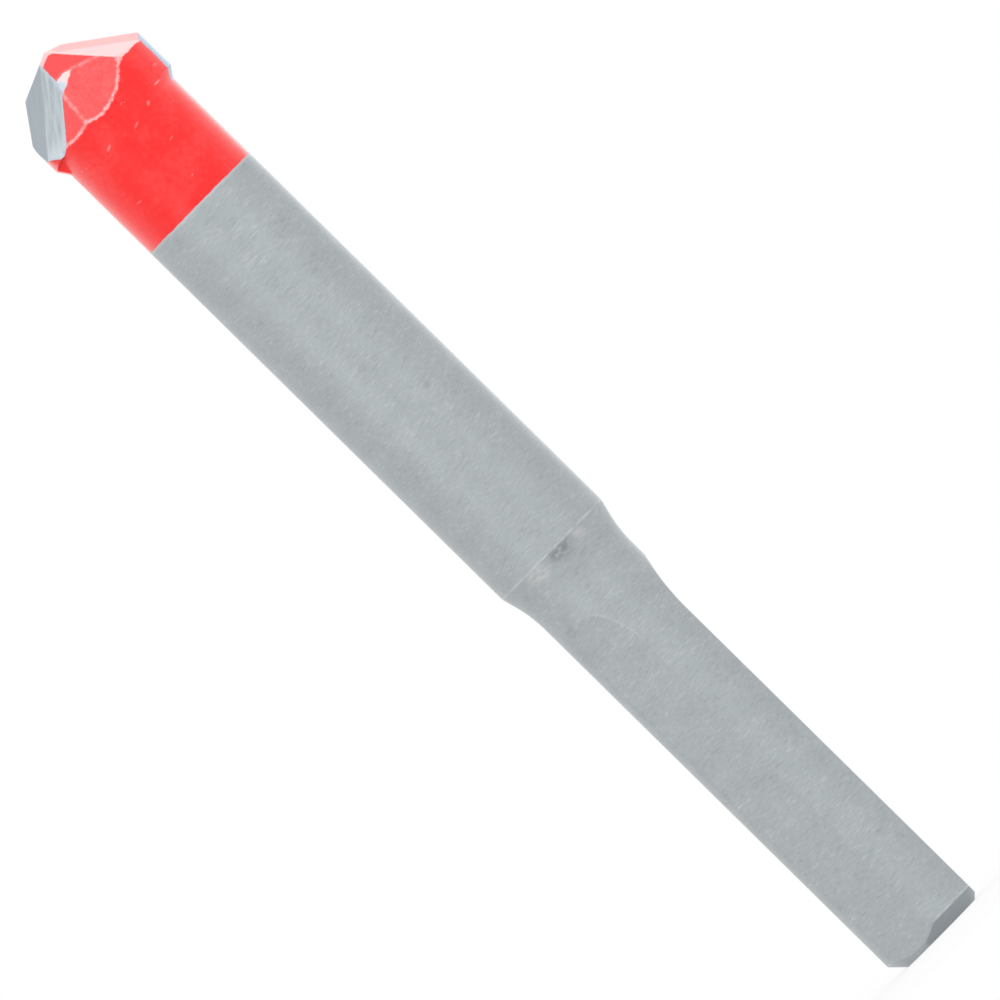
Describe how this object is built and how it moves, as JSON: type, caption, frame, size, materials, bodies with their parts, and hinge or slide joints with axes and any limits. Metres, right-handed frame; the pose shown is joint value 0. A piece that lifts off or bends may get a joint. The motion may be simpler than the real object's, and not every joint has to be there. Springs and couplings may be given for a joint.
{
  "type": "glass and tile drill bit",
  "caption": "Straight drill bit for glass and tile: a ground carbide point on a plain round steel body, with a thinner flatted shank.",
  "frame": {"origin": "centre of the shank's end face, at the middle of the box's bottom", "axes": "+Z along the axis from the shank end to the point, +X out of one shank flat"},
  "size_m": [0.0126, 0.0114, 0.1016],
  "materials": {
    "carbide_head": "red lacquer, with the faces ground after lacquering left as bare satin grey carbide",
    "steel_shank": "fine sandblasted grey steel, red lacquer for the first 17.5 mm from the point"
  },
  "bodies": {
    "root": {"carbide_head": "carbide_head", "steel_shank": "steel_shank"}
  },
  "joints": []
}
